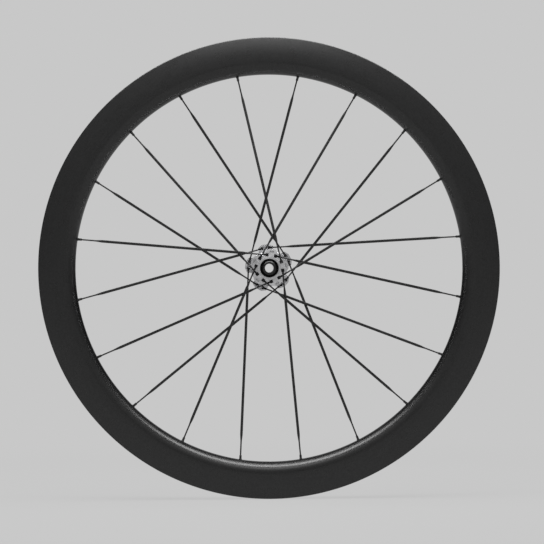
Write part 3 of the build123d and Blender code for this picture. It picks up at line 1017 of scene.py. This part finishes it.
class WHEEL_OT_axle(bpy.types.Operator):
    """Finish the axle and the end caps that stay still"""

    bl_idname = "wheel.axle"
    bl_label = "Axle and caps"

    def execute(self, context):
        s = context.scene.wheel_hub
        black = cap_material("cap_black", s.cap_black, s.barrel_black, s.face_radius, s.barrel_radius)
        grey = turned_metal("axle_grey", s.axle_grey, rough=0.30, lines=2200.0, brushed=0.4)
        dress_node("axle", grey)
        for side in SIDES:
            dress_node(f"end_cap_{side}", black)
        return {"FINISHED"}


class WHEEL_OT_bearings(bpy.types.Operator):
    """Finish the bearings, their seals and the rings under the caps"""

    bl_idname = "wheel.bearings"
    bl_label = "Bearings"

    def execute(self, context):
        s = context.scene.wheel_hub
        steel = turned_metal("bearing_steel", s.steel, rough=0.20, lines=3000.0, brushed=0.3)
        pressed = turned_metal("cage_steel", s.axle_grey, rough=0.38, lines=1500.0, brushed=0.2)
        rubber = rubber_material("seal_rubber", s.rubber)
        for side in SIDES:
            for piece in ("inner_ring", "outer_ring", "balls"):
                dress_node(f"bearing_{side}_{piece}", steel)
            dress_node(f"bearing_{side}_cage", pressed)
            dress_node(f"bearing_{side}_seals", rubber)
            dress_node(f"cap_ring_{side}", rubber)
        return {"FINISHED"}


class WHEEL_OT_stage(bpy.types.Operator):
    """Set the floor, the light and the camera"""

    bl_idname = "wheel.stage"
    bl_label = "Stage"

    def execute(self, context):
        s = context.scene.wheel_stage
        context.scene.view_settings.view_transform = "Standard"
        self.make_world(context.scene, s)
        self.make_floor(s)
        self.make_room(s)
        self.make_lamps(s)
        self.make_camera(context.scene, s)
        return {"FINISHED"}

    def bare_tree(self, holder):
        """The emptied node tree of a material or a world."""
        holder.use_nodes = True
        holder.node_tree.nodes.clear()
        return holder.node_tree

    def seen(self, tree):
        """1 for rays from the camera and those mirrored or let through on their way to it."""
        path = add(tree, "ShaderNodeLightPath").outputs
        first = calc(tree, "MAXIMUM", path["Is Camera Ray"], path["Is Glossy Ray"])
        return calc(tree, "MAXIMUM", first, path["Is Transmission Ray"])

    def make_world(self, scene, s):
        """Soft light from all round, with the plain backdrop where it is seen."""
        world = bpy.data.worlds.new("studio")
        scene.world = world
        tree = self.bare_tree(world)
        ambient = add(tree, "ShaderNodeBackground", {"Color": WHITE, "Strength": s.ambient}).outputs[0]
        backdrop = add(tree, "ShaderNodeBackground", {"Color": rgba(s.backdrop), "Strength": 1.0}).outputs[0]
        mixed = add(tree, "ShaderNodeMixShader", {0: self.seen(tree), 1: ambient, 2: backdrop})
        add(tree, "ShaderNodeOutputWorld", {"Surface": mixed.outputs[0]})

    def make_floor(self, s):
        """A round floor that takes the wheel's shadow and fades into the backdrop away from it."""
        mesh = bpy.data.meshes.new("floor")
        work = bmesh.new()
        bmesh.ops.create_circle(work, cap_ends=True, segments=FLOOR_SIDES, radius=s.floor_radius)
        work.to_mesh(mesh)
        work.free()
        for vertex in mesh.vertices:
            vertex.co.z = CAD_LOW.z - s.floor_gap
        material = bpy.data.materials.new("pale_floor")
        tree = self.bare_tree(material)
        matt = add(tree, "ShaderNodeBsdfDiffuse", {"Color": rgba(s.floor)}).outputs[0]
        glow = add(tree, "ShaderNodeEmission", {"Color": rgba(s.backdrop), "Strength": 1.0}).outputs[0]
        flat = vector_calc(tree, "MULTIPLY", own_place(tree), (1.0, 1.0, 0.0))["Vector"]
        away = vector_calc(tree, "LENGTH", flat)["Value"]
        fade = ranged(
            tree, away, s.glow_near, s.glow_far, s.floor_glow, 1.0, interpolation_type="SMOOTHSTEP"
        )
        share = calc(tree, "MULTIPLY", fade, self.seen(tree))
        mixed = add(tree, "ShaderNodeMixShader", {0: share, 1: matt, 2: glow})
        add(tree, "ShaderNodeOutputMaterial", {"Surface": mixed.outputs[0]})
        mesh.materials.append(material)
        link_piece("floor", mesh)

    def make_room(self, s):
        """A curved wall and ceiling that glow in front of the wheel, for its dark faces to mirror."""
        floor_z, top_z = CAD_LOW.z, CAD_LOW.z + s.room_height
        points, faces = [], []
        for i in range(ROOM_STEPS + 1):
            angle = s.doorway / 2 + (2 * math.pi - s.doorway) * i / ROOM_STEPS
            x, y = s.room_radius * math.sin(angle), s.room_radius * math.cos(angle)
            points += [(x, y, floor_z), (x, y, top_z)]
        for i in range(ROOM_STEPS):
            faces.append((2 * i, 2 * i + 1, 2 * i + 3, 2 * i + 2))
        faces.append(tuple(range(1, 2 * ROOM_STEPS + 2, 2)))
        mesh = bpy.data.meshes.new("room")
        mesh.from_pydata(points, [], faces)
        material = bpy.data.materials.new("grey_room")
        tree = self.bare_tree(material)
        axes = split(tree, own_place(tree))
        height = ranged(tree, axes["Z"], 0.0, top_z, s.wall_low, s.wall_high)
        front = ranged(tree, axes["Y"], -s.shade_front, s.shade_back, 1.0, s.rear_share)
        level = calc(tree, "MULTIPLY", height, front)
        glow = add(tree, "ShaderNodeEmission", {"Color": WHITE, "Strength": level})
        add(tree, "ShaderNodeOutputMaterial", {"Surface": glow.outputs[0]})
        mesh.materials.append(material)
        room = link_piece("room", mesh)
        room.visible_camera = False
        room.visible_shadow = False

    def make_lamp(self, name, radiance, size, spot, aim):
        """A softbox at a spot, turned to its aim, with the power that gives its radiance."""
        light = bpy.data.lights.new(name, "AREA")
        light.shape = "RECTANGLE"
        light.size, light.size_y = size
        light.energy = radiance * math.pi * size[0] * size[1]
        lamp = bpy.data.objects.new(name, light)
        lamp.location = spot
        lamp.rotation_mode = "QUATERNION"
        lamp.rotation_quaternion = (aim - spot).to_track_quat("-Z", "Y")
        bpy.context.scene.collection.objects.link(lamp)

    def make_lamps(self, s):
        """The overhead softbox, and a small panel in front that lights the rim's top edge."""
        key_spot = Vector((0.0, -s.key_forward, s.key_height))
        front_spot = Vector((0.0, -s.front_forward, s.front_height))
        rim_top = Vector((0.0, 0.0, CAD_HIGH.z))
        self.make_lamp("key", s.key_radiance, (s.key_width, s.key_depth), key_spot, Vector())
        self.make_lamp("front", s.front_radiance, (s.front_width, s.front_depth), front_spot, rim_top)

    def make_camera(self, scene, s):
        """The photograph's camera, level with the axle."""
        data = bpy.data.cameras.new("camera")
        data.sensor_width = SENSOR_WIDTH
        data.lens = SENSOR_WIDTH * s.distance / (IMAGE_PIXELS * s.pixel)
        data.shift_x = -s.right / IMAGE_PIXELS
        data.shift_y = -s.up / IMAGE_PIXELS
        camera = bpy.data.objects.new("camera", data)
        back = Vector((math.sin(s.azimuth), -math.cos(s.azimuth), 0.0))
        camera.location = back * s.distance
        camera.rotation_mode = "QUATERNION"
        aim = (-back).to_track_quat("-Z", "Y")
        camera.rotation_quaternion = aim @ Quaternion((0.0, 0.0, 1.0), -s.roll)
        scene.collection.objects.link(camera)
        scene.camera = camera


class WHEEL_PT_panel(bpy.types.Panel):
    """Buttons for the pieces of the wheel"""

    bl_idname = "WHEEL_PT_panel"
    bl_label = "Road wheel"
    bl_space_type = "VIEW_3D"
    bl_region_type = "UI"
    bl_category = "Wheel"

    def draw(self, context):
        for maker in OPERATORS:
            self.layout.operator(maker.bl_idname)


SETTINGS = {
    "wheel_rim": WheelRimSettings,
    "wheel_spokes": WheelSpokeSettings,
    "wheel_nipples": WheelNippleSettings,
    "wheel_hub": WheelHubSettings,
    "wheel_stage": WheelStageSettings,
}
OPERATORS = (
    WHEEL_OT_rim,
    WHEEL_OT_spokes,
    WHEEL_OT_nipples,
    WHEEL_OT_hub_shell,
    WHEEL_OT_axle,
    WHEEL_OT_bearings,
    WHEEL_OT_stage,
)


def register():
    """Registers the settings, the operators and the panel."""
    for item in (*SETTINGS.values(), *OPERATORS, WHEEL_PT_panel):
        bpy.utils.register_class(item)
    for name, group in SETTINGS.items():
        setattr(bpy.types.Scene, name, PointerProperty(type=group))


def unregister():
    """Takes out what register puts in."""
    for name in SETTINGS:
        delattr(bpy.types.Scene, name)
    for item in reversed((*SETTINGS.values(), *OPERATORS, WHEEL_PT_panel)):
        bpy.utils.unregister_class(item)


def main():
    """Builds the pieces and the stage."""
    register()
    bpy.ops.wheel.rim()
    bpy.ops.wheel.spokes()
    bpy.ops.wheel.nipples()
    bpy.ops.wheel.hub_shell()
    bpy.ops.wheel.axle()
    bpy.ops.wheel.bearings()
    bpy.ops.wheel.stage()


if __name__ == "__main__":
    main()
